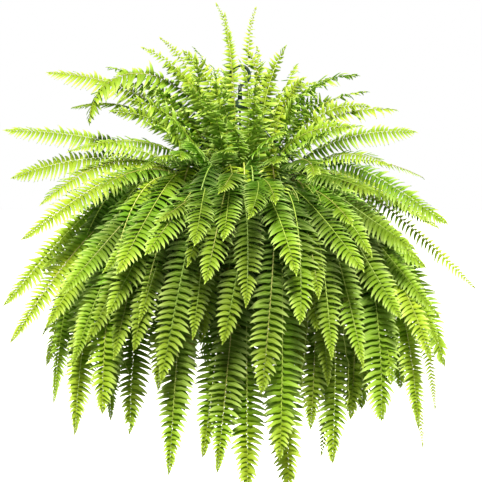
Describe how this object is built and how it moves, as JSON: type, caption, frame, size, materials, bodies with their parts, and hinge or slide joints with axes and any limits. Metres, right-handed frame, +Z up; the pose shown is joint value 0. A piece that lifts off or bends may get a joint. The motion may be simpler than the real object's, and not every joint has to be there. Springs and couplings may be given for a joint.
{
  "type": "potted fern",
  "caption": "Sword fern with long arching fronds of small leaflets, growing from soil in a round hanging pot on a stranded hanger with a hook.",
  "frame": {"origin": "the top of the hook's inner bend, where it bears on what the pot hangs from", "axes": "+Z up along the hook, -Y towards the fern's front, +X to the right seen from the front"},
  "size_m": [0.682, 0.5438, 0.682],
  "materials": {
    "pot": "satin moulded plastic, dark green",
    "soil": "moist crumbly potting mix",
    "hanger": "semi-gloss moulded plastic, dark green",
    "fronds": "fresh leaf, softly glossy and translucent"
  },
  "bodies": {
    "root": {"pot": "pot", "soil": "soil", "hanger_hook": "hanger", "hanger_strand_1": "hanger", "hanger_strand_2": "hanger", "hanger_strand_3": "hanger", "frond_cluster_01": "fronds", "frond_cluster_02": "fronds", "frond_cluster_03": "fronds", "frond_cluster_04": "fronds", "frond_cluster_05": "fronds", "frond_cluster_06": "fronds", "frond_cluster_07": "fronds", "frond_cluster_08": "fronds", "frond_cluster_09": "fronds", "frond_cluster_10": "fronds", "frond_cluster_11": "fronds", "frond_cluster_12": "fronds", "frond_cluster_13": "fronds", "frond_cluster_14": "fronds", "frond_cluster_15": "fronds", "frond_cluster_16": "fronds", "frond_cluster_17": "fronds", "frond_cluster_18": "fronds", "frond_cluster_19": "fronds", "frond_cluster_20": "fronds", "frond_cluster_21": "fronds", "frond_cluster_22": "fronds", "frond_cluster_23": "fronds", "frond_cluster_24": "fronds", "frond_cluster_25": "fronds", "frond_cluster_26": "fronds", "frond_cluster_27": "fronds", "frond_cluster_28": "fronds", "frond_cluster_29": "fronds", "frond_cluster_30": "fronds", "frond_cluster_31": "fronds", "frond_cluster_32": "fronds", "frond_cluster_33": "fronds", "frond_cluster_34": "fronds", "frond_cluster_35": "fronds", "frond_cluster_36": "fronds", "frond_cluster_37": "fronds", "frond_cluster_38": "fronds", "frond_cluster_39": "fronds"}
  },
  "joints": []
}
